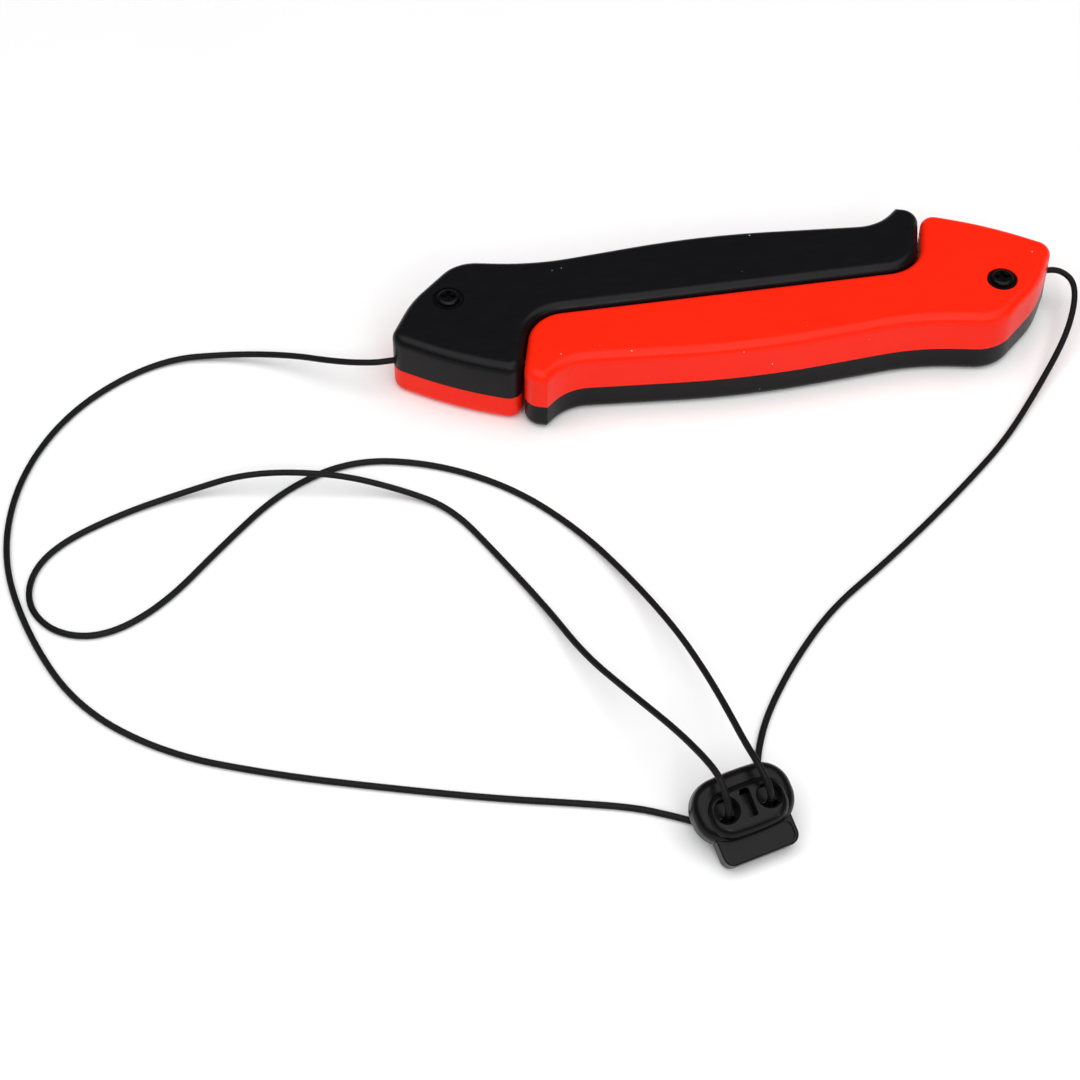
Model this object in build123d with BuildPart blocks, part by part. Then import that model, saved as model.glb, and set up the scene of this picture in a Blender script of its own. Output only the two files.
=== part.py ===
from build123d import *
from math import hypot, pi, radians, tan
import os

# A pair of ice safety picks that park in each other, on a neck cord with a two-hole cord lock.
# Pick A has its head at -X and its tail at +Y; pick B is pick A turned half a turn about Z.
# Origin: under the middle of the parked pair, on the surface that it lies on. Millimetres.

# ---- sizes of the pair -------------------------------------------------------------------
pair_length = 152.8        # between the two head corners, before they are rounded
half_width = 19.4          # centre line to the shoulder of a head
pick_height = 16.6
parting_height = 7.0       # where an upper shell meets its lower shell
wall = 2.0
edge_radius = 2.2          # along the top and bottom faces
gap = 0.5                  # between the parked picks
shoulder_reach = 32.0      # head corner to the bend of the line between the picks
slant = 0.26               # sideways step of the line between the picks, for each mm of Y
bend_radius = 9.0          # of that line, at its two bends
head_corner_offset = 2.4   # from the centre line
notch_depth = 2.0          # notch corner of the head, in from the half width
nose_depth = 0.6           # nose of the tail, in from the half width
guard_reach = 0.6          # bend of the line to the tip of the finger guard, along X back
guard_rise = 0.9           # tip of the finger guard, past the half width

# ---- spikes and their sockets ------------------------------------------------------------
spike_diameter = 4.0
spike_reach = 14.0         # out of the tail
spike_grip = 22.0          # inside the tail
spike_offset = 7.0         # axis from the centre line
spike_point = 7.0          # length of the cone
spike_groove_depth = 0.5
spike_groove_width = 1.4
spike_groove_place = 5.0   # from the root of the spike
spike_play = 0.02          # round the spike in its bed
rib_play = 0.12            # round the rib in the spike's groove
spike_block_wall = 1.5
tip_radius = 0.15          # of the blunted point
tip_length = 0.2
socket_diameter = 5.0
socket_clearance = 1.3     # past the point of the spike
socket_block_wall = 1.4
socket_end_wall = 2.0

# ---- rail of pick B in the groove of pick A ----------------------------------------------
rail_length = 56.0
rail_depth = 2.3
rail_root = 2.4            # height at the wall
rail_crest = 3.8           # height at the crest
rail_clearance = 0.25
rail_bar = 3.8             # solid bar that the groove is cut in

# ---- screws and pegs ---------------------------------------------------------------------
screw_from_corner = 14.8   # along X, from the head corner
screw_offset = 7.1         # from the centre line
screw_shank_diameter = 2.6
screw_shank_clearance = 0.2
screw_head_diameter = 5.0
screw_head_height = 0.9
screw_head_round = 0.75
screw_washer_diameter = 6.6
screw_washer_thickness = 0.5
screw_recess_diameter = 7.0
screw_recess_depth = 0.6
screw_bottom_room = 1.0    # under the screw's end
screw_boss_wall = 0.7
drive_width = 0.9          # arms of the cross in the screw's head
drive_length = 3.3
drive_depth = 0.8
drive_flare = 1.7          # side of the square where the arms meet
drive_flare_depth = 0.4
drive_turn = -9.0          # degrees
peg_diameter = 2.6
peg_height = 2.0
peg_clearance = 0.1
peg_room = 0.4             # over the end of a peg
peg_boss_wall = 1.3
peg_places = [(-26.0, 10.5), (6.0, 11.0)]
rib_places = [-43.0, -10.0]
rib_thickness = 1.2

# ---- cord and its knots ------------------------------------------------------------------
cord_diameter = 1.4
cord_hole_diameter = 1.9
knot_diameter = 4.4
knot_length = 4.0
knot_from_corner = 7.8     # middle of the knot, along X from the head corner
knot_offset = 1.9          # from the centre line
knot_height = 8.5          # of its axis; the cord leaves through the upper shell
knot_room = 0.5            # round the knot
knot_corner_room = 0.2     # more, for the knot's square ends
knot_turns = 3
knot_turn_depth = 0.4      # of the valley between two turns
anchor_wall = 1.2

# ---- cord lock ---------------------------------------------------------------------------
lock_width = 21.0
lock_length = 13.5
lock_length_shift = 0.55   # middle of the flange, behind the line of the two holes
flange_thickness = 6.6
flange_round = 2.4
flange_flat = 0.75         # corner radius of the flange, less than half its length
flange_crown = 0.9         # bulge of its long sides
boss_width = 16.8
boss_length = 10.2
boss_shift = -0.8
boss_thickness = 9.2       # over both faces
boss_corner_round = 4.6
boss_crown = 0.6
boss_top_round = 2.1
boss_bottom_round = 0.9
lock_hole_diameter = 4.8
lock_hole_spacing = 9.3
lock_hole_flare = 0.4      # at both ends of a hole
slot_width = 2.2
slot_length = 5.8
slot_round = 0.5
plunger_width = 16.2
plunger_thickness = 3.7
plunger_round = 2.2        # of its corners, in plan
plunger_edge = 0.45        # of its edges
plunger_reach = 10.4       # front end of the plunger, before the line of the holes
plunger_rim = 0.8          # round its thumb pad
pad_length = 3.9
pad_depth = 0.4
pad_round = 1.3
lug_clearance = 0.2        # each side of the lug in the slot
lug_height = 0.4           # over the plunger
plunger_tail = 2.4         # back end, behind that line
plunger_travel = 2.8
plunger_rest_offset = 3.0  # holes of the plunger before the holes of the body, at rest
slide_clearance = 0.15
lock_back_wall = 1.65
spring_diameter = 2.4
spring_wire = 0.4
spring_turns = 5
spring_clearance = 0.15    # round the spring in its pocket
spring_play = 0.05         # at each end
spring_pocket_bottom = -0.6

corner_x = pair_length / 2
bend_x = corner_x - shoulder_reach
spike_radius = spike_diameter / 2
cord_radius = cord_diameter / 2
screw_x = -corner_x + screw_from_corner
knot_x = -corner_x + knot_from_corner
pick_a_base = Plane.XY
pick_b_base = Plane.XY.rotated((0, 0, 180))

os.makedirs("parts", exist_ok=True)


def save(piece, name):
    """Label one finished piece and write it as a STEP file."""
    piece.label = name
    export_step(piece, f"parts/{name}.step")


def wall_x(bend, y):
    """X of a wall beside the slanted part of the line between the picks, at this Y."""
    return bend + slant * y - gap / 2 * hypot(1, slant)


tail_end_x = wall_x(bend_x, spike_offset)
spike_root_x = tail_end_x - spike_grip
spike_tip_x = tail_end_x + spike_reach
notch_y = -half_width + notch_depth
nose_y = half_width - nose_depth

# The plan of a pick: two lines of corners, each corner with the radius that rounds it.
# They run from the sharp tip of the finger guard to the middle of the line between the picks.
guard_tip = (bend_x - guard_reach, half_width + guard_rise)
line_middle = (0.0, gap / 2)
outer_corners = [
    ((bend_x - 5.8, half_width - 3.9), 11.0),                     # hook under the guard
    ((-2.0, half_width - 0.4), 200.0),                            # belly
    ((-corner_x + 35.4, half_width - 3.4), 60.0),                 # waist
    ((-corner_x + 18.1, half_width + 0.1), 9.5),                  # shoulder
    ((-corner_x + 6.4, half_width - 10.75), 25.0),                # back of the head
    ((-corner_x, -head_corner_offset), 3.5),                      # head corner
    ((-corner_x + 13.7, -half_width + 7.5), 90.0),                # front of the head
    ((wall_x(-bend_x, notch_y), notch_y), 3.0),                   # notch
    ((wall_x(-bend_x, gap / 2), gap / 2), bend_radius + gap / 2),
]
inner_corners = [
    ((wall_x(bend_x, nose_y), nose_y), 3.8),                      # nose of the tail
    ((wall_x(bend_x, gap / 2), gap / 2), bend_radius - gap / 2),
]


def pick_plan(plane, inset=0.0):
    """The plan of a pick on a plane, drawn in by an inset."""
    with BuildSketch(plane) as face:
        with BuildLine():
            for corners in (outer_corners, inner_corners):
                points = [guard_tip] + [corner for corner, radius in corners] + [line_middle]
                FilletPolyline(points, radius=[radius for corner, radius in corners])
        make_face()
        if inset:
            offset(amount=-inset)
    return face.sketch


def cross_plane(base, x, y=0.0, height=parting_height):
    """A plane square to a pick's length; its own X runs along the pick's Y, its Y upwards."""
    origin = base.origin + base.x_dir * x + base.y_dir * y + base.z_dir * height
    return Plane(origin=origin, x_dir=base.y_dir, z_dir=base.x_dir)


def dovetail(base, start_x, facing, near, far, extra, side):
    """Half a section of the sliding fit, from one depth to another off the wall of pick B."""
    half_heights = [
        rail_root / 2 + (rail_crest - rail_root) / 2 * depth / rail_depth + extra for depth in (near, far)
    ]
    across = [facing * (depth - gap / 2) for depth in (near, far)]
    with BuildSketch(cross_plane(base, start_x)) as section:
        with BuildLine():
            Polyline(
                (across[0], 0),
                (across[0], side * half_heights[0]),
                (across[1], side * half_heights[1]),
                (across[1], 0),
                close=True,
            )
        make_face()
    return section.sketch


def block_plan(plane, grooved):
    """What stands inside a shell: cord anchor, socket and spike blocks, bosses and ribs."""
    anchor_end = knot_x + knot_length / 2 + knot_room + anchor_wall
    socket_start = -spike_tip_x - socket_clearance - socket_end_wall
    socket_end = wall_x(-bend_x, 0)
    spike_start = spike_root_x - spike_block_wall
    groove_end = bend_x
    groove_start = -rail_length / 2 - wall
    with BuildSketch(plane) as blocks:
        with Locations(((-corner_x + anchor_end) / 2, -knot_offset)):
            Rectangle(anchor_end + corner_x, 3 * half_width)
        with Locations(((socket_start + socket_end) / 2, -spike_offset)):
            Rectangle(socket_end - socket_start, socket_diameter + 2 * socket_block_wall)
        with Locations(((spike_start + tail_end_x) / 2, spike_offset)):
            Rectangle(tail_end_x - spike_start, spike_diameter + 2 * spike_block_wall)
        with Locations((screw_x, screw_offset)):
            Circle(screw_recess_diameter / 2 + screw_boss_wall)
        with Locations(*peg_places):
            Circle(peg_diameter / 2 + peg_boss_wall)
        with Locations(*[(x, 0) for x in rib_places]):
            Rectangle(rib_thickness, 3 * half_width)
        if grooved:
            with Locations(((groove_start + groove_end) / 2, gap / 2 + rail_bar / 2)):
                Rectangle(groove_end - groove_start, rail_bar)
        add(pick_plan(Plane.XY, wall / 2), mode=Mode.INTERSECT)
    return blocks.sketch


def build_shell(base, upper, grooved):
    """One half of a pick's body, on the pick's own base plane."""
    low = parting_height if upper else 0.0
    high = pick_height if upper else parting_height
    hollow_low = low if upper else low + wall
    hollow_height = high - low - wall
    with BuildPart() as shell:
        extrude(pick_plan(base.offset(low)), amount=high - low)
        fillet(shell.faces().sort_by(Axis.Z)[-1 if upper else 0].edges(), radius=edge_radius)
        extrude(pick_plan(base.offset(hollow_low), wall), amount=hollow_height, mode=Mode.SUBTRACT)
        extrude(block_plan(base.offset(hollow_low), grooved), amount=hollow_height)

        # The spike's bed, with a rib that stands in the spike's groove, and the other spike's socket
        rib_start = spike_root_x + spike_groove_place
        rib_end = rib_start + spike_groove_width
        bed_radius = spike_radius + spike_play
        rib_radius = spike_radius - spike_groove_depth + rib_play
        bed = [
            (spike_root_x - rib_play, rib_start + rib_play, bed_radius),
            (rib_start, rib_end, rib_radius),
            (rib_end - rib_play, tail_end_x + spike_diameter, bed_radius),
            (-spike_tip_x - socket_clearance, wall_x(-bend_x, 0) + wall, socket_diameter / 2),
        ]
        for start, end, radius in bed:
            y = -spike_offset if start < -bend_x else spike_offset
            with BuildSketch(cross_plane(base, start, y)):
                Circle(radius)
            extrude(amount=end - start, mode=Mode.SUBTRACT)

        # The knot's pocket and the cord's hole
        pocket_height = knot_diameter / 2 + knot_room
        with BuildSketch(base.offset(knot_height - pocket_height)):
            with Locations((knot_x, -knot_offset)):
                Circle(knot_length / 2 + knot_room + knot_corner_room)
        extrude(amount=2 * pocket_height, mode=Mode.SUBTRACT)
        with BuildSketch(cross_plane(base, -corner_x - 1.0, -knot_offset, knot_height)):
            Circle(cord_hole_diameter / 2)
        extrude(amount=knot_from_corner, mode=Mode.SUBTRACT)

        # The screw's hole: clear through the upper shell, a pilot in the lower one
        if upper:
            with BuildSketch(base.offset(high - screw_recess_depth)):
                with Locations((screw_x, screw_offset)):
                    Circle(screw_recess_diameter / 2)
            extrude(amount=screw_recess_depth, mode=Mode.SUBTRACT)
            with BuildSketch(base.offset(low)):
                with Locations(*peg_places):
                    Circle(peg_diameter / 2 + peg_clearance)
            extrude(amount=peg_height + peg_room, mode=Mode.SUBTRACT)
            with BuildSketch(base.offset(low)):
                with Locations((screw_x, screw_offset)):
                    Circle(screw_shank_diameter / 2 + screw_shank_clearance)
            extrude(amount=high - low, mode=Mode.SUBTRACT)
        else:
            with BuildSketch(base.offset(wall)):
                with Locations((screw_x, screw_offset)):
                    Circle(screw_shank_diameter / 2)
            extrude(amount=high - wall, mode=Mode.SUBTRACT)
            with BuildSketch(base.offset(high)):
                with Locations(*peg_places):
                    Circle(peg_diameter / 2)
            extrude(amount=peg_height)

        # The sliding fit between the picks: half of a groove in pick A, half of a rail on pick B
        side = 1 if upper else -1
        start = -rail_length / 2
        if grooved:
            groove = dovetail(base, start - 1.0, 1, 0.3, rail_depth + rail_clearance, rail_clearance, side)
            extrude(groove, amount=rail_length + shoulder_reach, mode=Mode.SUBTRACT)
        else:
            extrude(dovetail(base, start, -1, -0.5, rail_depth, 0.0, side), amount=rail_length)
    return shell.part


def build_spike(base):
    """A steel spike: a cone, a shank and a groove that its bed's rib holds."""
    groove_start = spike_root_x + spike_groove_place
    groove_end = groove_start + spike_groove_width
    groove_radius = spike_radius - spike_groove_depth
    axis_point = cross_plane(base, 0, spike_offset).origin
    with BuildPart() as spike:
        with BuildSketch(Plane(origin=axis_point, x_dir=base.x_dir, z_dir=base.y_dir)):
            with BuildLine():
                Polyline(
                    (spike_root_x, 0),
                    (spike_root_x, spike_radius),
                    (groove_start, spike_radius),
                    (groove_start, groove_radius),
                    (groove_end, groove_radius),
                    (groove_end, spike_radius),
                    (spike_tip_x - spike_point, spike_radius),
                    (spike_tip_x - tip_length, tip_radius),
                    (spike_tip_x, 0),
                    close=True,
                )
            make_face()
        revolve(axis=Axis(axis_point, base.x_dir))
    return spike.part


def build_screw(base):
    """The black screw that holds a head's two shells together: a pan head with its own washer."""
    seat = pick_height - screw_recess_depth
    shoulder = seat + screw_washer_thickness
    top = shoulder + screw_head_height
    shank_end = wall + screw_bottom_room
    with BuildPart() as screw:
        with BuildSketch(base.offset(shoulder)):
            with Locations((screw_x, screw_offset)):
                Circle(screw_head_diameter / 2)
        extrude(amount=screw_head_height)
        fillet(screw.faces().sort_by(Axis.Z)[-1].edges(), radius=screw_head_round)
        with BuildSketch(base.offset(seat)):
            with Locations((screw_x, screw_offset)):
                Circle(screw_washer_diameter / 2)
        extrude(amount=screw_washer_thickness)
        with BuildSketch(base.offset(top - drive_depth)):
            with Locations(Location((screw_x, screw_offset), drive_turn)):
                Rectangle(drive_length, drive_width)
                Rectangle(drive_width, drive_length)
        extrude(amount=drive_depth, mode=Mode.SUBTRACT)
        with BuildSketch(base.offset(top - drive_flare_depth)):
            with Locations(Location((screw_x, screw_offset), drive_turn)):
                Rectangle(drive_flare, drive_flare, rotation=45)
        extrude(amount=drive_flare_depth, mode=Mode.SUBTRACT)
        with BuildSketch(base.offset(shank_end)):
            with Locations((screw_x, screw_offset)):
                Circle(screw_shank_diameter / 2)
        extrude(amount=seat - shank_end)
    return screw.part


def build_knot(base):
    """The barrel knot that keeps the cord's end in a head: turns side by side."""
    half = knot_length / 2
    crest = knot_diameter / 2
    valley = crest - knot_turn_depth
    turn_width = knot_length / knot_turns
    axis_point = cross_plane(base, knot_x, -knot_offset, knot_height).origin
    with BuildPart() as knot:
        with BuildSketch(Plane(origin=axis_point, x_dir=base.x_dir, z_dir=base.y_dir)):
            with BuildLine():
                Polyline((-half, valley), (-half, 0), (half, 0), (half, valley))
                for turn in range(knot_turns):
                    start = turn * turn_width - half
                    end = start + turn_width
                    ThreePointArc((start, valley), ((start + end) / 2, crest), (end, valley))
            make_face()
        revolve(axis=Axis(axis_point, base.x_dir))
    return knot.part


for pick, base, grooved in (("a", pick_a_base, True), ("b", pick_b_base, False)):
    save(build_shell(base, True, grooved), f"pick_{pick}_top_shell")
    save(build_shell(base, False, grooved), f"pick_{pick}_bottom_shell")
    save(build_spike(base), f"pick_{pick}_spike")
    save(build_screw(base), f"pick_{pick}_screw")
    save(build_knot(base), f"cord_knot_{pick}")

# ---- cord lock, built on its own tilted plane --------------------------------------------
# It leans on the front edge of its rear boss, held up by the cord that comes out beneath it.
lock_plane = Plane(origin=(-23.9, -130.15, 6.5), x_dir=(0.9659, 0.2588, 0), z_dir=(0.1135, -0.4234, 0.8988))
lock_axis = Axis(lock_plane.origin, lock_plane.z_dir)
cavity_width = plunger_width + 2 * slide_clearance
cavity_thickness = plunger_thickness + 2 * slide_clearance
flange_back = lock_length_shift + lock_length / 2
flange_front = lock_length_shift - lock_length / 2
cavity_back = flange_back - lock_back_wall
cavity_front = flange_front - wall
hole_places = [(-lock_hole_spacing / 2, 0), (lock_hole_spacing / 2, 0)]
plunger_hole_places = [(x, -plunger_rest_offset) for x, y in hole_places]
lug_width = slot_width - 2 * lug_clearance
lug_front = -slot_length / 2 + slide_clearance
lug_length = slot_length - plunger_travel - 2 * slide_clearance


def lock_block(width, length, shift, crown, corner, thickness, top_round, bottom_round):
    """A block on the lock's middle plane: long sides that bulge, round corners and edges."""
    side = length / 2 - crown
    with BuildPart() as block:
        with BuildSketch(lock_plane.offset(-thickness / 2)) as plan:
            with BuildLine(Location((0, shift))):
                ThreePointArc((-width / 2, -side), (0, -length / 2), (width / 2, -side))
                Line((width / 2, -side), (width / 2, side))
                ThreePointArc((width / 2, side), (0, length / 2), (-width / 2, side))
                Line((-width / 2, side), (-width / 2, -side))
            make_face()
            fillet(plan.vertices(), radius=corner)
        extrude(amount=thickness)
        fillet(block.faces().sort_by(lock_axis)[-1].edges(), radius=top_round)
        fillet(block.faces().sort_by(lock_axis)[0].edges(), radius=bottom_round)
    return block.part


flange = lock_block(
    lock_width, lock_length, lock_length_shift, flange_crown, lock_length / 2 - flange_flat,
    flange_thickness, flange_round, flange_round,
)
boss = lock_block(
    boss_width, boss_length, boss_shift, boss_crown, boss_corner_round,
    boss_thickness, boss_top_round, boss_bottom_round,
)
with BuildPart() as cord_lock_body:
    add(flange)
    add(boss)
    with BuildSketch(lock_plane.offset(-cavity_thickness / 2)):
        with Locations((0, (cavity_back + cavity_front) / 2)):
            Rectangle(cavity_width, cavity_back - cavity_front)
    extrude(amount=cavity_thickness, mode=Mode.SUBTRACT)
    with BuildSketch(lock_plane.offset(-boss_thickness)):
        with Locations(*hole_places):
            Circle(lock_hole_diameter / 2)
    extrude(amount=2 * boss_thickness, mode=Mode.SUBTRACT)
    for side in (1, -1):
        with BuildSketch(lock_plane.offset(side * (boss_thickness / 2 - lock_hole_flare))):
            with Locations(*hole_places):
                Circle(lock_hole_diameter / 2)
        extrude(amount=side * lock_hole_flare, taper=-45, mode=Mode.SUBTRACT)
    with BuildSketch(lock_plane):
        RectangleRounded(slot_width, slot_length, slot_round)
    extrude(amount=boss_thickness, mode=Mode.SUBTRACT)
save(cord_lock_body.part, "cord_lock_body")

with BuildPart() as cord_lock_plunger:
    with BuildSketch(lock_plane.offset(-plunger_thickness / 2)):
        with Locations((0, (plunger_tail - plunger_reach) / 2)):
            RectangleRounded(plunger_width, plunger_reach + plunger_tail, plunger_round)
    extrude(amount=plunger_thickness)
    fillet(cord_lock_plunger.faces().sort_by(lock_axis)[-1].edges(), radius=plunger_edge)
    fillet(cord_lock_plunger.faces().sort_by(lock_axis)[0].edges(), radius=plunger_edge)
    with BuildSketch(lock_plane.offset(-plunger_thickness)):
        with Locations(*plunger_hole_places):
            Circle(lock_hole_diameter / 2)
    extrude(amount=2 * plunger_thickness, mode=Mode.SUBTRACT)
    for level in (plunger_thickness / 2 - pad_depth, -plunger_thickness / 2):
        with BuildSketch(lock_plane.offset(level)):
            with Locations((0, plunger_rim + pad_length / 2 - plunger_reach)):
                RectangleRounded(plunger_width - 2 * plunger_rim, pad_length, pad_round)
        extrude(amount=pad_depth, mode=Mode.SUBTRACT)
    with BuildSketch(lock_plane):
        with Locations((0, lug_front + lug_length / 2)):
            Rectangle(lug_width, lug_length)
    extrude(amount=plunger_thickness / 2 + lug_height)
    spring_plane = Plane(origin=lock_plane.origin, x_dir=lock_plane.x_dir, z_dir=lock_plane.y_dir)
    with BuildSketch(spring_plane.offset(spring_pocket_bottom)):
        Circle(spring_diameter / 2 + spring_clearance)
    extrude(amount=2 * plunger_tail - spring_pocket_bottom, mode=Mode.SUBTRACT)
save(cord_lock_plunger.part, "cord_lock_plunger")

spring_start = spring_pocket_bottom + spring_wire / 2 + spring_play
spring_length = cavity_back - spring_wire / 2 - spring_play - spring_start
with BuildPart() as cord_lock_spring:
    with BuildLine() as coil:
        Helix(
            spring_length / spring_turns,
            spring_length,
            (spring_diameter - spring_wire) / 2,
            center=lock_plane.origin + lock_plane.y_dir * spring_start,
            direction=lock_plane.y_dir,
        )
    with BuildSketch(Plane(origin=coil.wire() @ 0, z_dir=coil.wire() % 0)):
        Circle(spring_wire / 2)
    sweep(is_frenet=True)
save(cord_lock_spring.part, "cord_lock_spring")

# ---- the cord ----------------------------------------------------------------------------
# One length: out of head A, up through the lock's left hole, round the neck loop,
# down through the right hole and into head B. Its parts meet in the middle of the holes.
lead_a_route = [
    (-70.6, -1.9, 8.5),
    (-75.4, -1.9, 8.5),
    (-80.2, -1.6, 8.1),
    (-88.0, 2.0, 6.2),
    (-97.5, 7.8, 4.0),
    (-110.0, 12.6, 1.6),
    (-127.0, 14.4, 0.75),
    (-146.8, 3.0, 0.75),
    (-159.6, -15.5, 0.75),
    (-164.3, -37.7, 0.75),
    (-160.0, -59.7, 0.75),
    (-150.8, -80.5, 0.75),
    (-134.0, -95.0, 0.75),
    (-113.0, -103.6, 0.75),
    (-91.8, -110.3, 0.75),
    (-70.4, -116.5, 0.75),
    (-54.0, -120.4, 0.75),
    (-43.5, -123.2, 0.75),
    (-36.9, -126.2, 0.75),
    (-31.65, -128.9, 0.76),
    (-29.74, -130.18, 1.74),
    (-28.29, -131.73, 3.86),
    (-28.04, -132.66, 5.84),
]
loop_route = [
    (-28.04, -132.66, 5.84),
    (-27.77, -133.68, 8.0),
    (-27.62, -134.02, 10.82),
    (-27.83, -132.66, 13.71),
    (-28.58, -128.9, 15.69),
    (-30.2, -123.7, 14.9),
    (-34.0, -113.8, 12.0),
    (-40.6, -99.8, 7.3),
    (-47.2, -86.4, 3.6),
    (-52.6, -71.0, 1.3),
    (-60.2, -55.2, 0.75),
    (-68.0, -40.4, 0.75),
    (-78.0, -34.2, 1.8),
    (-92.0, -30.0, 5.1),
    (-110.0, -26.6, 5.1),
    (-124.5, -26.6, 1.2),
    (-138.5, -30.2, 0.75),
    (-152.0, -36.4, 0.75),
    (-158.4, -43.8, 0.75),
    (-159.4, -53.2, 0.75),
    (-153.6, -61.2, 0.75),
    (-143.6, -63.2, 0.75),
    (-131.2, -56.7, 0.75),
    (-117.6, -42.5, 0.75),
    (-103.6, -29.2, 0.75),
    (-87.5, -22.8, 0.75),
    (-70.0, -26.8, 0.75),
    (-54.0, -36.8, 0.75),
    (-41.8, -51.2, 0.75),
    (-33.4, -68.2, 2.4),
    (-27.8, -84.5, 5.6),
    (-24.8, -99.0, 9.2),
    (-23.0, -111.2, 12.2),
    (-21.9, -121.0, 14.8),
    (-20.66, -126.78, 15.69),
    (-19.29, -130.37, 13.71),
    (-18.74, -131.64, 10.82),
    (-18.79, -131.27, 8.0),
    (-19.06, -130.25, 5.84),
]
lead_b_route = [
    (70.6, 1.9, 8.5),
    (75.0, 1.9, 8.5),
    (78.9, 1.9, 8.0),
    (81.4, -1.4, 7.2),
    (80.0, -7.4, 6.0),
    (75.6, -15.6, 4.2),
    (67.4, -26.0, 2.1),
    (55.6, -40.1, 0.75),
    (43.7, -51.1, 0.75),
    (31.6, -61.4, 0.75),
    (19.2, -71.2, 0.75),
    (6.4, -80.5, 0.75),
    (-4.2, -92.3, 0.75),
    (-12.5, -104.2, 0.75),
    (-16.4, -112.5, 0.75),
    (-18.2, -119.0, 0.75),
    (-19.19, -124.64, 0.8),
    (-19.38, -127.14, 1.81),
    (-19.31, -129.32, 3.86),
    (-19.06, -130.25, 5.84),
]
lead_b_parting_y = -half_width - 1.6   # beyond it the cord stays behind when pick B is drawn off


def bend_radii(route):
    """The radius at each inner point: 0.45 of its shorter run, over the tangent of half its turn."""
    radii = []
    for before, here, after in zip(route, route[1:], route[2:]):
        run_in, run_out = Vector(here) - Vector(before), Vector(after) - Vector(here)
        half_turn = radians(run_in.get_angle(run_out)) / 2
        radii.append(0.45 * min(run_in.length, run_out.length) / tan(half_turn))
    return radii


def build_cord(route):
    """A tube along a route: straight runs joined by tangent arcs."""
    with BuildPart() as cord:
        with BuildLine() as path:
            FilletPolyline(route, radius=bend_radii(route))
        with BuildSketch(Plane(origin=route[0], z_dir=path.wire() % 0)):
            Circle(cord_radius)
        sweep()
    length = path.wire().length
    print(f"cord {length:.0f} mm, least radius {min(bend_radii(route)):.2f} mm,")
    print("  radii", [round(radius, 1) for radius in bend_radii(route)])
    print(f"  volume {cord.part.volume:.1f}, section by length {pi * cord_radius ** 2 * length:.1f} mm3")
    return cord.part


save(build_cord(lead_a_route), "cord_lead_a")
save(build_cord(loop_route), "cord_loop")
lead_b = build_cord(lead_b_route)
parting_plane = Plane(origin=(0, lead_b_parting_y, 0), x_dir=(1, 0, 0), z_dir=(0, 1, 0))
save(split(lead_b, bisect_by=parting_plane, keep=Keep.BOTTOM), "cord_lead_b")
save(split(lead_b, bisect_by=parting_plane, keep=Keep.TOP), "cord_lead_b_end")
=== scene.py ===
"""Looks of a pair of ice safety picks, parked in each other on a neck cord with a cord lock."""
from __future__ import annotations

import logging
import math
from dataclasses import dataclass, field
from enum import Enum

import bmesh
import bpy
from mathutils import Euler, Matrix, Vector


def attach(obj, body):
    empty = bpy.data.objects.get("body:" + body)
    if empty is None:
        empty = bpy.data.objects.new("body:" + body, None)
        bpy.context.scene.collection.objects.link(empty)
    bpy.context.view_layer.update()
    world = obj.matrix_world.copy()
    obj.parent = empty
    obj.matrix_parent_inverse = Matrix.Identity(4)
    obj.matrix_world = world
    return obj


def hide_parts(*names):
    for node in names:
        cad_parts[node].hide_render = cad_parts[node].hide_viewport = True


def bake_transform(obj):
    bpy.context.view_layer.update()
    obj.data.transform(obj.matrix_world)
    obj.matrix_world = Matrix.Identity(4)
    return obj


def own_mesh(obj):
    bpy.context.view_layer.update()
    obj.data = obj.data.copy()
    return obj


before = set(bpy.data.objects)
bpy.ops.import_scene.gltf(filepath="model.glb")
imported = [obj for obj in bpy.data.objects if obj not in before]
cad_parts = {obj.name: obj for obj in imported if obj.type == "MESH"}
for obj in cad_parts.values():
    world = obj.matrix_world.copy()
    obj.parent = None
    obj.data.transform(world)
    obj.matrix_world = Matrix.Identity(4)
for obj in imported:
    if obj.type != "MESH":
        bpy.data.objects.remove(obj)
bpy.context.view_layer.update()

MM = 0.001
PLASTIC_IOR = 1.5
log = logging.getLogger("ice_picks")

Colour = tuple[float, float, float, float]
Point = tuple[float, float, float]


def linear(hex_colour: str) -> Colour:
    """Turn an sRGB hex colour into the linear colour that the shaders take.

    Args:
        hex_colour: six hex digits after a #.

    Returns:
        Linear red, green and blue, with an alpha of 1.
    """
    channels = [int(hex_colour[i:i + 2], 16) / 255 for i in (1, 3, 5)]
    straight = [c / 12.92 if c <= 0.04045 else ((c + 0.055) / 1.055) ** 2.4 for c in channels]
    return (*straight, 1.0)


def add_node(
    tree: bpy.types.NodeTree,
    kind: str,
    settings: dict[str | int, object] | None = None,
    links: dict[str | int, bpy.types.NodeSocket] | None = None,
) -> bpy.types.Node:
    """Add a shader node, set its properties and sockets, and link its inputs.

    Args:
        tree: the node tree that gets the node.
        kind: the node's type name.
        settings: property names, or input names or numbers, and their values.
        links: input names or numbers, and the output sockets that feed them.

    Returns:
        The new node.
    """
    node = tree.nodes.new(kind)
    for name, value in (settings or {}).items():
        if isinstance(name, int) or name in node.inputs:
            node.inputs[name].default_value = value
        else:
            setattr(node, name, value)
    for name, source in (links or {}).items():
        tree.links.new(source, node.inputs[name])
    return node


def per_metre(size_mm: float) -> float:
    """Pattern scale that repeats once in a real size."""
    return 1.0 / (size_mm * MM)


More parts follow.
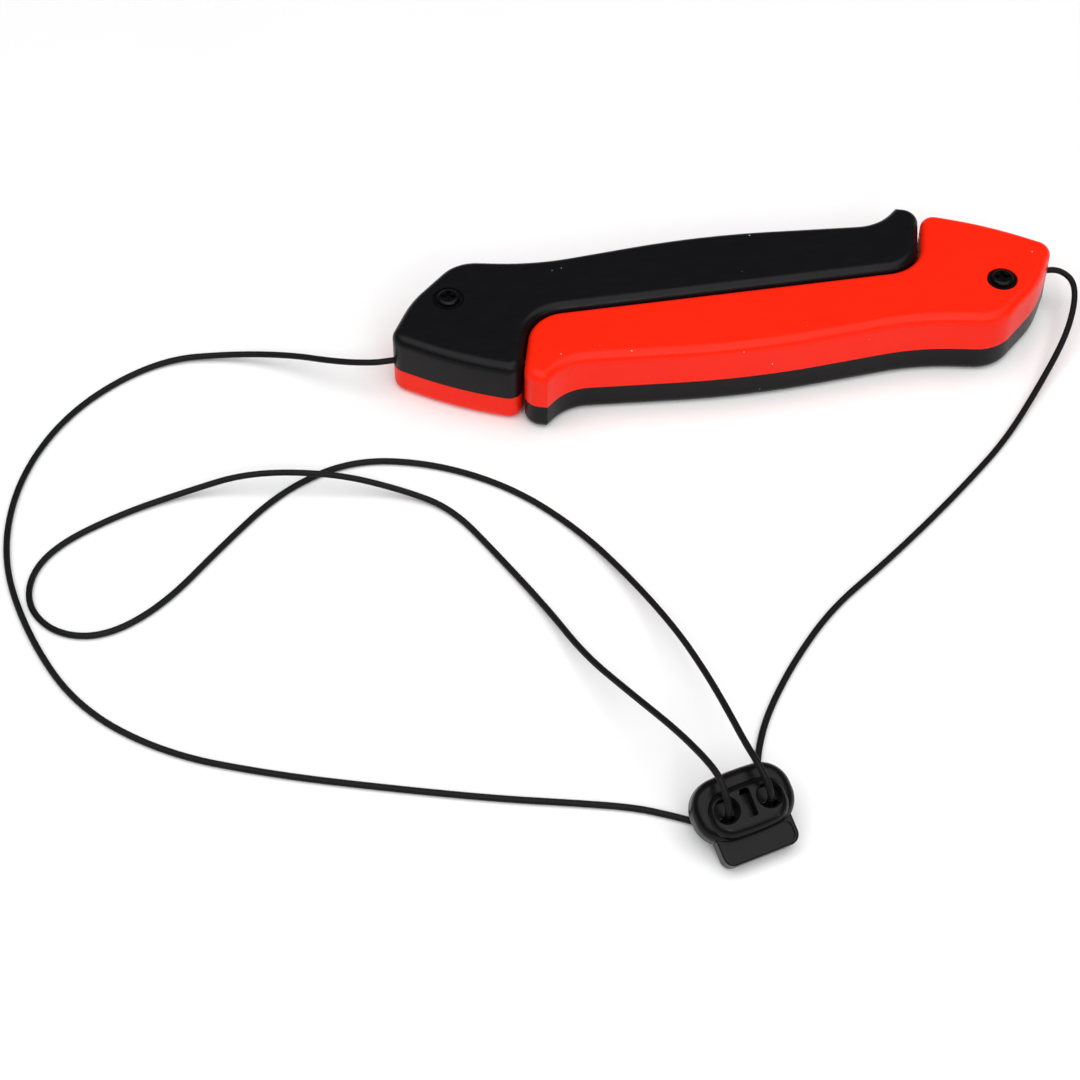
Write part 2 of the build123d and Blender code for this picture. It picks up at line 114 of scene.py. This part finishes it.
def new_material(name: str) -> tuple[bpy.types.Material, bpy.types.NodeTree, bpy.types.Node]:
    """Start an empty node material.

    Args:
        name: the material's name.

    Returns:
        The material, its node tree and its output node.
    """
    material = bpy.data.materials.new(name)
    material.use_nodes = True
    tree = material.node_tree
    tree.nodes.clear()
    return material, tree, add_node(tree, "ShaderNodeOutputMaterial")


def dress(piece: bpy.types.Object, material: bpy.types.Material) -> None:
    """Give a piece one material in every slot.

    Args:
        piece: the object to dress.
        material: what it is made of.
    """
    if not piece.material_slots:
        piece.data.materials.append(material)
    for slot in piece.material_slots:
        slot.material = material


# ---- finishes --------------------------------------------------------------------------------


@dataclass(frozen=True)
class MouldedShell:
    """Glass-filled nylon, injection moulded in a fine spark-eroded tool: satin, with soft sheen.

    The grain breaks the highlights up softly; handling leaves a little dust and fine scuffs.
    """

    name: str
    colour: str
    deep_colour: str
    dust_colour: str
    roughness: float
    specular: float = 0.15
    grain_mm: float = 0.35
    grain_depth_mm: float = 0.01
    cloud_mm: float = 22.0
    patch_mm: float = 16.0
    speck_spacing_mm: float = 2.2
    speck_size: float = 0.09
    speck_share: float = 0.2
    speck_edge: float = 0.6
    speck_warp_mm: float = 0.35
    patch_range: tuple[float, float] = (0.5, 0.56)
    scuff_mm: float = 1.4
    scuff_range: tuple[float, float] = (0.35, 0.7)
    scuff_stretch: float = 0.3
    scuff_turn_rad: float = 0.4
    smoother: float = 0.03
    rougher: float = 0.05
    grain_strength: float = 0.35

    def make(self) -> bpy.types.Material:
        """Build the material.

        Returns:
            The finished material.
        """
        material, tree, output = new_material(self.name)
        place = add_node(tree, "ShaderNodeTexCoord").outputs["Object"]
        cloud = add_node(
            tree, "ShaderNodeTexNoise", {"Scale": per_metre(self.cloud_mm), "Detail": 3.0}, {"Vector": place}
        )
        tone = add_node(
            tree, "ShaderNodeMix", {"data_type": "RGBA", 6: linear(self.colour), 7: linear(self.deep_colour)},
            {0: cloud.outputs["Fac"]},
        )
        ragged = add_node(
            tree, "ShaderNodeTexNoise", {"Scale": per_metre(self.speck_warp_mm)}, {"Vector": place}
        )
        warped = add_node(
            tree, "ShaderNodeVectorMath", {"operation": "MULTIPLY_ADD", 1: (self.speck_warp_mm * MM,) * 3},
            {0: ragged.outputs["Color"], 2: place},
        )
        cells = add_node(
            tree, "ShaderNodeTexVoronoi", {"Scale": per_metre(self.speck_spacing_mm)},
            {"Vector": warped.outputs["Vector"]},
        )
        near = add_node(
            tree, "ShaderNodeMapRange",
            {"From Min": self.speck_size, "From Max": self.speck_size * self.speck_edge},
            {"Value": cells.outputs["Distance"]},
        )
        pick = add_node(tree, "ShaderNodeSeparateColor", {}, {"Color": cells.outputs["Color"]})
        chosen = add_node(
            tree, "ShaderNodeMath", {"operation": "LESS_THAN", 1: self.speck_share}, {0: pick.outputs["Red"]}
        )
        patches = add_node(
            tree, "ShaderNodeTexNoise", {"Scale": per_metre(self.patch_mm)}, {"Vector": place}
        )
        rubbed = add_node(
            tree, "ShaderNodeMapRange",
            {"From Min": self.patch_range[0], "From Max": self.patch_range[1]},
            {"Value": patches.outputs["Fac"]},
        )
        speck = add_node(
            tree, "ShaderNodeMath", {"operation": "MULTIPLY"}, {0: near.outputs[0], 1: chosen.outputs[0]}
        )
        speck = add_node(
            tree, "ShaderNodeMath", {"operation": "MULTIPLY"}, {0: speck.outputs[0], 1: rubbed.outputs[0]}
        )
        dusted = add_node(
            tree, "ShaderNodeMix", {"data_type": "RGBA", 7: linear(self.dust_colour)},
            {0: speck.outputs[0], 6: tone.outputs[2]},
        )
        grain = add_node(
            tree, "ShaderNodeTexNoise", {"Scale": per_metre(self.grain_mm), "Detail": 2.0}, {"Vector": place}
        )
        stretched = add_node(
            tree, "ShaderNodeMapping",
            {"Scale": (self.scuff_stretch, 1.0, 1.0), "Rotation": (0.0, 0.0, self.scuff_turn_rad)},
            {"Vector": place},
        )
        scuffs = add_node(
            tree, "ShaderNodeTexNoise", {"Scale": per_metre(self.scuff_mm), "Detail": 4.0},
            {"Vector": stretched.outputs["Vector"]},
        )
        rough = add_node(
            tree, "ShaderNodeMapRange",
            {
                "From Min": self.scuff_range[0],
                "From Max": self.scuff_range[1],
                "To Min": self.roughness - self.smoother,
                "To Max": self.roughness + self.rougher,
            },
            {"Value": scuffs.outputs["Fac"]},
        )
        bump = add_node(
            tree, "ShaderNodeBump",
            {"Strength": self.grain_strength, "Distance": self.grain_depth_mm * MM},
            {"Height": grain.outputs["Fac"]},
        )
        shader = add_node(
            tree, "ShaderNodeBsdfPrincipled", {"IOR": PLASTIC_IOR, "Specular IOR Level": self.specular},
            {"Base Color": dusted.outputs[2], "Roughness": rough.outputs[0], "Normal": bump.outputs[0]},
        )
        tree.links.new(shader.outputs[0], output.inputs["Surface"])
        return material


@dataclass(frozen=True)
class BraidedCord:
    """Elastic cord in a braided polyester sheath: crossing strands, almost black, softly lit.

    The braid is drawn coarser than the real sixteen-carrier one, which is too fine to show. Its hollows carry
    painted shade and its raised strands a painted highlight.
    """

    name: str = "braided_polyester_cord"
    colour: str = "#070708"
    painted_lit_strand_colour: str = "#121214"
    strand_pitch_mm: float = 1.5
    strands_round: float = 3.0
    relief_mm: float = 0.06
    relief_strength: float = 0.8
    roughness: float = 0.5
    specular: float = 0.15

    def make(self) -> bpy.types.Material:
        """Build the material, on a UV map that holds metres along and turns round.

        Returns:
            The finished material.
        """
        material, tree, output = new_material(self.name)
        uv = add_node(tree, "ShaderNodeUVMap", {"uv_map": "along_and_round"})
        split = add_node(tree, "ShaderNodeSeparateXYZ", {}, {0: uv.outputs[0]})
        along = add_node(
            tree, "ShaderNodeMath", {"operation": "MULTIPLY", 1: math.tau * per_metre(self.strand_pitch_mm)},
            {0: split.outputs["X"]},
        )
        turn = add_node(
            tree, "ShaderNodeMath", {"operation": "MULTIPLY", 1: math.tau * self.strands_round},
            {0: split.outputs["Y"]},
        )
        waves = []
        for hand in ("ADD", "SUBTRACT"):
            angle = add_node(
                tree, "ShaderNodeMath", {"operation": hand}, {0: along.outputs[0], 1: turn.outputs[0]}
            )
            waves.append(add_node(tree, "ShaderNodeMath", {"operation": "SINE"}, {0: angle.outputs[0]}))
        weave = add_node(
            tree, "ShaderNodeMath", {"operation": "MULTIPLY"},
            {0: waves[0].outputs[0], 1: waves[1].outputs[0]},
        )
        height = add_node(
            tree, "ShaderNodeMapRange", {"From Min": -1.0, "From Max": 1.0}, {"Value": weave.outputs[0]}
        )
        # The weave's height tints the sheath: the hollows between strands get painted shade and the raised
        # strands a painted highlight.
        tone = add_node(
            tree, "ShaderNodeMix",
            {"data_type": "RGBA", 6: linear(self.colour), 7: linear(self.painted_lit_strand_colour)},
            {0: height.outputs[0]},
        )
        bump = add_node(
            tree, "ShaderNodeBump",
            {"Strength": self.relief_strength, "Distance": self.relief_mm * MM},
            {"Height": height.outputs[0]},
        )
        shader = add_node(
            tree, "ShaderNodeBsdfPrincipled",
            {"Roughness": self.roughness, "IOR": PLASTIC_IOR, "Specular IOR Level": self.specular},
            {"Base Color": tone.outputs[2], "Normal": bump.outputs[0]},
        )
        tree.links.new(shader.outputs[0], output.inputs["Surface"])
        return material


@dataclass(frozen=True)
class TurnedMetal:
    """Metal with fine tool lines across X, which go round the spikes as grinding leaves them.

    The lines draw a highlight out along the shank, and faint stains make the tone a little uneven.
    On the screws and the spring they are too fine to show which way they lie.
    """

    name: str
    colour: str
    dark_colour: str
    roughness: float
    line_mm: float
    metallic: float = 1.0
    line_depth_mm: float = 0.004
    line_strength: float = 0.5
    line_squeeze: float = 0.04
    line_range: tuple[float, float] = (0.3, 0.7)
    stain_mm: float = 2.5
    smoother: float = 0.07
    rougher: float = 0.09

    def make(self) -> bpy.types.Material:
        """Build the material; the lines run across the object's X.

        Returns:
            The finished material.
        """
        material, tree, output = new_material(self.name)
        place = add_node(tree, "ShaderNodeTexCoord").outputs["Object"]
        squeezed = add_node(
            tree, "ShaderNodeMapping", {"Scale": (1.0, self.line_squeeze, self.line_squeeze)},
            {"Vector": place},
        )
        lines = add_node(
            tree, "ShaderNodeTexNoise", {"Scale": per_metre(self.line_mm), "Detail": 3.0},
            {"Vector": squeezed.outputs["Vector"]},
        )
        stain = add_node(
            tree, "ShaderNodeTexNoise", {"Scale": per_metre(self.stain_mm), "Detail": 3.0}, {"Vector": place}
        )
        tone = add_node(
            tree, "ShaderNodeMix",
            {"data_type": "RGBA", 6: linear(self.colour), 7: linear(self.dark_colour)},
            {0: stain.outputs["Fac"]},
        )
        rough = add_node(
            tree, "ShaderNodeMapRange",
            {
                "From Min": self.line_range[0],
                "From Max": self.line_range[1],
                "To Min": self.roughness - self.smoother,
                "To Max": self.roughness + self.rougher,
            },
            {"Value": lines.outputs["Fac"]},
        )
        bump = add_node(
            tree, "ShaderNodeBump",
            {"Strength": self.line_strength, "Distance": self.line_depth_mm * MM},
            {"Height": lines.outputs["Fac"]},
        )
        shader = add_node(
            tree, "ShaderNodeBsdfPrincipled", {"Metallic": self.metallic},
            {"Base Color": tone.outputs[2], "Roughness": rough.outputs[0], "Normal": bump.outputs[0]},
        )
        tree.links.new(shader.outputs[0], output.inputs["Surface"])
        return material


class Finishes:
    """Every finish of the object, each made once."""

    def __init__(self) -> None:
        """Build the materials."""
        self.black_shell = MouldedShell(
            "black_nylon_moulded", "#0C0C0F", "#09090B", "#B8B6B4", roughness=0.32
        ).make()
        self.red_shell = MouldedShell(
            "red_nylon_moulded", "#FF2406", "#FA2004", "#FFB4A4", roughness=0.34
        ).make()
        self.lock = MouldedShell(
            "black_acetal_moulded", "#0C0C0E", "#09090B", "#6C6C70", roughness=0.26, grain_depth_mm=0.003
        ).make()
        self.screw = TurnedMetal(
            "black_oxide_screw", "#1C1C1F", "#111113", roughness=0.27, line_mm=0.3, metallic=0.85
        ).make()
        self.spike = TurnedMetal(
            "ground_steel_spike", "#B9B9BC", "#9B9BA0", roughness=0.28, line_mm=0.25
        ).make()
        self.spring = TurnedMetal(
            "drawn_spring_wire", "#B4B4B6", "#97979B", roughness=0.3, line_mm=0.3
        ).make()
        self.cord = BraidedCord().make()


# ---- the neck cord ---------------------------------------------------------------------------


@dataclass
class CordStretch:
    """One stretch of the neck cord: the listed points of its route, in millimetres."""

    name: str
    route: list[Point]
    exit: Point
    length_mm: float
    cad_nodes: list[str]


@dataclass
class NeckCord:
    """The limp braided cord, from the knot in head A round the neck to the knot in head B.

    Each stretch is laid once along its route, dressed, and put in place of its CAD nodes.
    """

    finishes: Finishes
    spring: bpy.types.Object
    diameter_mm: float = 1.4
    sides: int = 12
    steps: int = 10
    weld_mm: float = 0.001
    bend_start_mm: Point = (-14.0, -108.0, 0.75)
    bend_end_mm: Point = (60.0, -34.0, 0.75)
    stretches: list[CordStretch] = field(default_factory=list)

    def laid_line(self, stretch: CordStretch) -> list[Vector]:
        """Lay a smooth line over a route's points.

        Args:
            stretch: the stretch whose points are the line's control points.

        Returns:
            Points along the line, in metres.
        """
        data = bpy.data.curves.new(stretch.name + "_line", "CURVE")
        data.dimensions = "3D"
        data.resolution_u = self.steps
        spline = data.splines.new("NURBS")
        spline.points.add(len(stretch.route) - 1)
        for control, place in zip(spline.points, stretch.route):
            control.co = (*(Vector(place) * MM), 1.0)
        spline.order_u = 3
        spline.use_endpoint_u = True
        holder = bpy.data.objects.new(stretch.name + "_line", data)
        bpy.context.scene.collection.objects.link(holder)
        bpy.context.view_layer.update()
        mesh = bpy.data.meshes.new_from_object(holder.evaluated_get(bpy.context.evaluated_depsgraph_get()))
        line = [vertex.co.copy() for vertex in mesh.vertices]
        bpy.data.objects.remove(holder)
        bpy.data.meshes.remove(mesh)
        return line

    def tube(self, name: str, line: list[Vector]) -> bpy.types.Object:
        """Wrap a sheet of faces round a line, with a UV map of metres along and turns round.

        Args:
            name: the piece's name.
            line: points along the cord's middle.

        Returns:
            The cord's object, linked to the scene.
        """
        walked = [0.0]
        for before, after in zip(line, line[1:]):
            walked.append(walked[-1] + (after - before).length)
        headings = [
            (after - before).normalized() for before, after in zip([line[0]] + line, line[1:] + [line[-1]])
        ]
        side = headings[0].orthogonal().normalized()
        sides = []
        for before, heading in zip([headings[0]] + headings, headings):
            side = before.rotation_difference(heading) @ side
            sides.append(side)
        work = bmesh.new()
        uv = work.loops.layers.uv.new("along_and_round")
        last = len(line) - 1
        # The grid runs from -1 to 1 both ways: X goes along the cord, and Y goes round it
        bmesh.ops.create_grid(work, x_segments=last, y_segments=self.sides, size=1.0)
        for face in work.faces:
            face.smooth = True
            for loop in face.loops:
                ring = round((loop.vert.co.x + 1.0) / 2.0 * last)
                loop[uv].uv = (walked[ring], (loop.vert.co.y + 1.0) / 2.0)
        for vertex in work.verts:
            ring = round((vertex.co.x + 1.0) / 2.0 * last)
            turn = (vertex.co.y + 1.0) / 2.0 * math.tau
            up = headings[ring].cross(sides[ring])
            outward = sides[ring] * math.cos(turn) + up * math.sin(turn)
            vertex.co = line[ring] + outward * self.diameter_mm * MM / 2
        bmesh.ops.remove_doubles(work, verts=work.verts, dist=self.weld_mm * MM)
        bmesh.ops.holes_fill(work, edges=work.edges, sides=self.sides)
        bmesh.ops.recalc_face_normals(work, faces=work.faces)
        mesh = bpy.data.meshes.new(name)
        work.to_mesh(mesh)
        work.free()
        piece = bpy.data.objects.new(name, mesh)
        bpy.context.scene.collection.objects.link(piece)
        return piece

    def build(self) -> None:
        for stretch in self.stretches:
            line = self.laid_line(stretch)
            piece = self.tube(stretch.name, line)
            dress(piece, self.finishes.cord)
            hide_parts(*stretch.cad_nodes)
            if len(stretch.cad_nodes) == 1:
                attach(piece, "pick_a")
            else:
                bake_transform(piece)
            log.info("%s: %d rings", stretch.name, len(line))


LEAD_A = CordStretch(
    "neck_cord_lead_a",
    [
        (-70.6, -1.9, 8.5),
        (-75.4, -1.9, 8.5),
        (-80.2, -1.6, 8.1),
        (-88.0, 2.0, 6.2),
        (-97.5, 7.8, 4.0),
        (-110.0, 12.6, 1.6),
        (-127.0, 14.4, 0.75),
        (-146.8, 3.0, 0.75),
        (-159.6, -15.5, 0.75),
        (-164.3, -37.7, 0.75),
        (-160.0, -59.7, 0.75),
        (-150.8, -80.5, 0.75),
        (-134.0, -95.0, 0.75),
        (-113.0, -103.6, 0.75),
        (-91.8, -110.3, 0.75),
        (-70.4, -116.5, 0.75),
        (-54.0, -120.4, 0.75),
        (-43.5, -123.2, 0.75),
        (-36.9, -126.2, 0.75),
        (-31.65, -128.9, 0.76),
        (-29.74, -130.18, 1.74),
        (-28.29, -131.73, 3.86),
        (-28.04, -132.66, 5.84),
    ],
    exit=(-75.4, -1.9, 8.5),
    length_mm=309.0,
    cad_nodes=["cord_lead_a"],
)
LOOP = CordStretch(
    "neck_cord_loop",
    [
        (-28.04, -132.66, 5.84),
        (-27.77, -133.68, 8.0),
        (-27.62, -134.02, 10.82),
        (-27.83, -132.66, 13.71),
        (-28.58, -128.9, 15.69),
        (-30.2, -123.7, 14.9),
        (-34.0, -113.8, 12.0),
        (-40.6, -99.8, 7.3),
        (-47.2, -86.4, 3.6),
        (-52.6, -71.0, 1.3),
        (-60.2, -55.2, 0.75),
        (-68.0, -40.4, 0.75),
        (-78.0, -34.2, 1.8),
        (-92.0, -30.0, 5.1),
        (-110.0, -26.6, 5.1),
        (-124.5, -26.6, 1.2),
        (-138.5, -30.2, 0.75),
        (-152.0, -36.4, 0.75),
        (-158.4, -43.8, 0.75),
        (-159.4, -53.2, 0.75),
        (-153.6, -61.2, 0.75),
        (-143.6, -63.2, 0.75),
        (-131.2, -56.7, 0.75),
        (-117.6, -42.5, 0.75),
        (-103.6, -29.2, 0.75),
        (-87.5, -22.8, 0.75),
        (-70.0, -26.8, 0.75),
        (-54.0, -36.8, 0.75),
        (-41.8, -51.2, 0.75),
        (-33.4, -68.2, 2.4),
        (-27.8, -84.5, 5.6),
        (-24.8, -99.0, 9.2),
        (-23.0, -111.2, 12.2),
        (-21.9, -121.0, 14.8),
        (-20.66, -126.78, 15.69),
        (-19.29, -130.37, 13.71),
        (-18.74, -131.64, 10.82),
        (-18.79, -131.27, 8.0),
        (-19.06, -130.25, 5.84),
    ],
    exit=(-28.04, -132.66, 5.84),
    length_mm=456.0,
    cad_nodes=["cord_loop"],
)
LEAD_B = CordStretch(
    "neck_cord_lead_b",
    [
        (70.6, 1.9, 8.5),
        (75.0, 1.9, 8.5),
        (78.9, 1.9, 8.0),
        (81.4, -1.4, 7.2),
        (80.0, -7.4, 6.0),
        (75.6, -15.6, 4.2),
        (67.4, -26.0, 2.1),
        (55.6, -40.1, 0.75),
        (43.7, -51.1, 0.75),
        (31.6, -61.4, 0.75),
        (19.2, -71.2, 0.75),
        (6.4, -80.5, 0.75),
        (-4.2, -92.3, 0.75),
        (-12.5, -104.2, 0.75),
        (-16.4, -112.5, 0.75),
        (-18.2, -119.0, 0.75),
        (-19.19, -124.64, 0.8),
        (-19.38, -127.14, 1.81),
        (-19.31, -129.32, 3.86),
        (-19.06, -130.25, 5.84),
    ],
    exit=(75.0, 1.9, 8.5),
    length_mm=183.0,
    cad_nodes=["cord_lead_b", "cord_lead_b_end"],
)


# ---- picks and cord lock ---------------------------------------------------------------------


@dataclass
class PickPair:
    """The two parked picks: two-colour shells, steel spikes, screws and the cord's knots."""

    finishes: Finishes

    def build(self) -> None:
        """Dress every node of both picks."""
        for pick, top, bottom in (
            ("a", self.finishes.black_shell, self.finishes.red_shell),
            ("b", self.finishes.red_shell, self.finishes.black_shell),
        ):
            finish_of = {
                f"pick_{pick}_top_shell": top,
                f"pick_{pick}_bottom_shell": bottom,
                f"pick_{pick}_spike": self.finishes.spike,
                f"pick_{pick}_screw": self.finishes.screw,
                f"cord_knot_{pick}": self.finishes.cord,
            }
            for node, finish in finish_of.items():
                dress(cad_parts[node], finish)
                log.info("dressed %s", node)


@dataclass
class CordLock:
    """The sprung two-hole cord lock that sits on the neck cord.

    Lengths are in millimetres. The spring's own line runs along the way the plunger slides, from the
    middle between the two holes.
    """

    finishes: Finishes
    middle: Point = (-23.9, -130.15, 6.5)
    across: Point = (0.9659, 0.2588, 0.0)
    push: Point = (-0.2326, 0.8682, 0.4384)
    wire: float = 0.4
    coil_radius: float = 1.0
    coil_length: float = 5.75
    coil_start: float = -0.35
    turns: int = 5
    wire_sides: int = 8
    steps_per_turn: int = 24
    play: float = 0.05
    travel: float = 2.8

    def spring(self) -> bpy.types.Object:
        """Wind the plunger's return spring at its rest length; it does not shorten here when the plunger is
        pushed in.

        Returns:
            The spring, on the lock's body.
        """
        work = bmesh.new()
        bmesh.ops.create_circle(work, segments=self.wire_sides, radius=self.wire / 2)
        upright = Matrix.Rotation(math.pi / 2, 3, "X")
        bmesh.ops.rotate(work, verts=work.verts, matrix=upright)
        bmesh.ops.translate(work, verts=work.verts, vec=(self.coil_radius, 0.0, self.coil_start))
        steps = self.turns * self.steps_per_turn
        bmesh.ops.spin(
            work, geom=work.verts[:] + work.edges[:], axis=(0.0, 0.0, 1.0), cent=(0.0, 0.0, 0.0),
            dvec=(0.0, 0.0, self.coil_length / steps), angle=self.turns * math.tau, steps=steps,
        )
        bmesh.ops.holes_fill(work, edges=work.edges, sides=self.wire_sides)
        bmesh.ops.recalc_face_normals(work, faces=work.faces)
        push, across = Vector(self.push).normalized(), Vector(self.across).normalized()
        turned = Matrix((across, push.cross(across), push)).transposed().to_4x4()
        placed = Matrix.Scale(MM, 4) @ Matrix.Translation(self.middle) @ turned
        bmesh.ops.transform(work, matrix=placed, verts=work.verts)
        for face in work.faces:
            face.smooth = len(face.verts) == 4
        mesh = bpy.data.meshes.new("lock_return_spring")
        work.to_mesh(mesh)
        work.free()
        spring = bpy.data.objects.new("lock_return_spring", mesh)
        bpy.context.scene.collection.objects.link(spring)
        dress(spring, self.finishes.spring)
        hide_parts("cord_lock_spring")
        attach(spring, "pick_a")
        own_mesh(spring)
        return spring

    def build(self) -> bpy.types.Object:
        """Dress the lock's nodes and wind its spring.

        Returns:
            The spring.
        """
        for node in ("cord_lock_body", "cord_lock_plunger"):
            dress(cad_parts[node], self.finishes.lock)
            log.info("dressed %s", node)
        spring = self.spring()
        log.info("wound %s", spring.name)
        return spring


# ---- studio ----------------------------------------------------------------------------------


class Softness(Enum):
    """How large a light is, and so how soft its shadows are, in metres."""

    BROAD = 3.0
    MEDIUM = 0.2
    NARROW = 0.1


@dataclass(frozen=True)
class SoftLight:
    """One square light: where it hangs and what it faces, in metres, and its power in watts."""

    name: str
    place: Point
    aim: Point
    power: float
    softness: Softness

    def hang(self) -> None:
        """Hang the light and turn it to what it faces."""
        data = bpy.data.lights.new(self.name, "AREA")
        data.energy = self.power
        data.shape = "SQUARE"
        data.size = self.softness.value
        lamp = bpy.data.objects.new(self.name, data)
        lamp.location = self.place
        lamp.rotation_euler = (Vector(self.aim) - Vector(self.place)).to_track_quat("-Z", "Y").to_euler()
        bpy.context.scene.collection.objects.link(lamp)


@dataclass
class Studio:
    """A pale floor, soft lights and the camera."""

    lights: tuple[SoftLight, ...] = (
        SoftLight("overhead_softbox", (-0.1, -0.75, 1.6), (-0.04, -0.75, 0.0), 56.0, Softness.BROAD),
        SoftLight("right_softbox", (0.75, -0.85, 0.5), (-0.04, -0.05, 0.0), 0.8, Softness.NARROW),
        SoftLight("front_softbox", (0.15, -1.15, 0.85), (-0.04, -0.05, 0.0), 1.6, Softness.MEDIUM),
    )
    azimuth_deg: float = -9.461
    elevation_deg: float = 50.0
    distance_mm: float = 576.8
    target_mm: Point = (-50.71, -51.59, 0.0)
    lens_mm: float = 90.0
    sensor_mm: float = 36.0
    nearest_m: float = 0.01
    floor_half_m: float = 3.0
    card_colour: str = "#F4F4F4"
    card_light_colour: str = "#F7F7F7"
    card_roughness: float = 0.9
    mottle_mm: float = 60.0
    air_colour: str = "#FFFFFF"
    air_strength: float = 0.15

    def camera(self) -> None:
        """Stand the camera where the view is taken from."""
        azimuth = math.radians(self.azimuth_deg)
        elevation = math.radians(self.elevation_deg)
        back = Vector((
            math.sin(azimuth) * math.cos(elevation),
            -math.cos(azimuth) * math.cos(elevation),
            math.sin(elevation),
        ))
        data = bpy.data.cameras.new("camera")
        data.lens = self.lens_mm
        data.sensor_width = self.sensor_mm
        data.clip_start = self.nearest_m
        data.dof.use_dof = False
        camera = bpy.data.objects.new("camera", data)
        camera.location = (Vector(self.target_mm) + back * self.distance_mm) * MM
        camera.rotation_euler = Euler((math.pi / 2 - elevation, 0.0, azimuth))
        bpy.context.scene.collection.objects.link(camera)
        bpy.context.scene.camera = camera

    def floor(self) -> None:
        """Lay a plain pale floor."""
        work = bmesh.new()
        bmesh.ops.create_grid(work, x_segments=1, y_segments=1, size=self.floor_half_m)
        mesh = bpy.data.meshes.new("floor")
        work.to_mesh(mesh)
        work.free()
        floor = bpy.data.objects.new("floor", mesh)
        bpy.context.scene.collection.objects.link(floor)
        material, tree, output = new_material("pale_card")
        place = add_node(tree, "ShaderNodeTexCoord").outputs["Object"]
        mottle = add_node(
            tree, "ShaderNodeTexNoise", {"Scale": per_metre(self.mottle_mm)}, {"Vector": place}
        )
        tone = add_node(
            tree, "ShaderNodeMix",
            {"data_type": "RGBA", 6: linear(self.card_colour), 7: linear(self.card_light_colour)},
            {0: mottle.outputs["Fac"]},
        )
        shader = add_node(
            tree, "ShaderNodeBsdfPrincipled", {"Roughness": self.card_roughness},
            {"Base Color": tone.outputs[2]},
        )
        tree.links.new(shader.outputs[0], output.inputs["Surface"])
        dress(floor, material)

    def build(self) -> None:
        """Set the stage, the lights and the camera."""
        self.floor()
        for light in self.lights:
            light.hang()
        world = bpy.data.worlds.new("studio_air")
        world.use_nodes = True
        air = world.node_tree.nodes["Background"]
        air.inputs["Color"].default_value = linear(self.air_colour)
        air.inputs["Strength"].default_value = self.air_strength
        bpy.context.scene.world = world
        bpy.context.scene.view_settings.view_transform = "Standard"
        self.camera()


def main() -> None:
    """Build the looks, piece by piece."""
    logging.basicConfig(level=logging.INFO, format="%(message)s")
    Studio().build()
    finishes = Finishes()
    spring = CordLock(finishes).build()
    NeckCord(finishes, spring, stretches=[LEAD_A, LOOP, LEAD_B]).build()
    PickPair(finishes).build()


if __name__ == "__main__":
    main()
